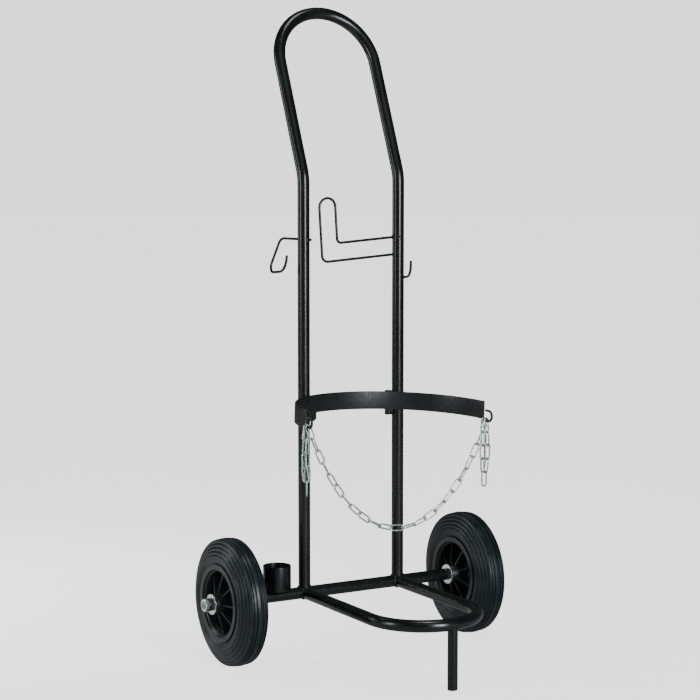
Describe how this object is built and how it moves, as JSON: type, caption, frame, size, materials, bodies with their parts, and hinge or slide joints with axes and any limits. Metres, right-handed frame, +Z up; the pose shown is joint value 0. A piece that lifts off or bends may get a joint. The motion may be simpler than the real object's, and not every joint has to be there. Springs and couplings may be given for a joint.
{
  "type": "oxy acetylene torch cart",
  "caption": "Two-wheeled hand cart of bent steel tube with a half-round cylinder strap and chain, base loop, torch rest, hose hooks and rod cup.",
  "frame": {"origin": "middle of the cart's outline on the floor", "axes": "+X along the axle to the right wheel seen from the front, +Y to the back where the handle leans, +Z up"},
  "size_m": [0.5302, 0.4204, 1.0216],
  "materials": {
    "frame_paint": "glossy black powder coat",
    "strap_paint": "satin black paint over rolled bar",
    "wire_paint": "glossy black paint on wire",
    "tyre_rubber": "moulded rubber with tread grooves",
    "wheel_plastic": "moulded black plastic",
    "zinc": "bright zinc plate",
    "chain_zinc": "zinc-plated welded wire",
    "dark_steel": "dark plated steel"
  },
  "bodies": {
    "cart": {"axle_nut_left": "zinc", "axle_nut_right": "zinc", "axle_rod": "dark_steel", "axle_tube": "frame_paint", "base_loop": "frame_paint", "chain_hook_left": "wire_paint", "chain_hook_right": "wire_paint", "cylinder_strap": "strap_paint", "handle_frame": "frame_paint", "hose_hook_left": "wire_paint", "hose_hook_right": "wire_paint", "prop_leg": "frame_paint", "rod_cup": "frame_paint", "spacer_left": "dark_steel", "spacer_right": "dark_steel", "strap_bracket_left": "frame_paint", "strap_bracket_right": "frame_paint", "torch_rest": "wire_paint", "washer_inner_left": "zinc", "washer_inner_right": "zinc", "washer_outer_left": "zinc", "washer_outer_right": "zinc"},
    "wheel_left": {"tyre_left": "tyre_rubber", "rim_left": "wheel_plastic"},
    "wheel_right": {"tyre_right": "tyre_rubber", "rim_right": "wheel_plastic"},
    "chain_span": {"chain_link_01": "chain_zinc", "chain_link_02": "chain_zinc", "chain_link_03": "chain_zinc", "chain_link_04": "chain_zinc", "chain_link_05": "chain_zinc", "chain_link_06": "chain_zinc", "chain_link_07": "chain_zinc", "chain_link_08": "chain_zinc", "chain_link_09": "chain_zinc", "chain_link_10": "chain_zinc", "chain_link_11": "chain_zinc", "chain_link_12": "chain_zinc", "chain_link_13": "chain_zinc", "chain_link_14": "chain_zinc", "chain_link_15": "chain_zinc", "chain_link_16": "chain_zinc", "chain_link_17": "chain_zinc", "chain_link_18": "chain_zinc", "chain_link_19": "chain_zinc", "chain_link_20": "chain_zinc", "chain_link_21": "chain_zinc", "chain_link_22": "chain_zinc", "chain_link_23": "chain_zinc"},
    "chain_tail_left": {"chain_tail_left": "chain_zinc"},
    "chain_tail_right": {"chain_tail_right": "chain_zinc"}
  },
  "joints": [
    {"name": "wheel_left_spin", "type": "hinge", "parent": "cart", "child": "wheel_left", "pos_m": [-0.216, 0.09401, 0.1], "axis": [1, 0, 0], "continuous": true},
    {"name": "wheel_right_spin", "type": "hinge", "parent": "cart", "child": "wheel_right", "pos_m": [0.216, 0.09401, 0.1], "axis": [1, 0, 0], "continuous": true},
    {"name": "chain_swing", "type": "hinge", "parent": "cart", "child": "chain_span", "pos_m": [-0.00039, -0.05301, 0.38513], "axis": [0.9992, 0.001, -0.0412], "range_deg": [-45, 0]},
    {"name": "chain_tail_left_swing", "type": "hinge", "parent": "cart", "child": "chain_tail_left", "pos_m": [-0.15992, -0.04779, 0.38847], "axis": [0.0749, 0.9969, 0.0221], "range_deg": [0, 45]},
    {"name": "chain_tail_right_swing", "type": "hinge", "parent": "cart", "child": "chain_tail_right", "pos_m": [0.15911, -0.04746, 0.3752], "axis": [-0.0749, 0.9968, 0.0266], "range_deg": [-45, 0]}
  ]
}
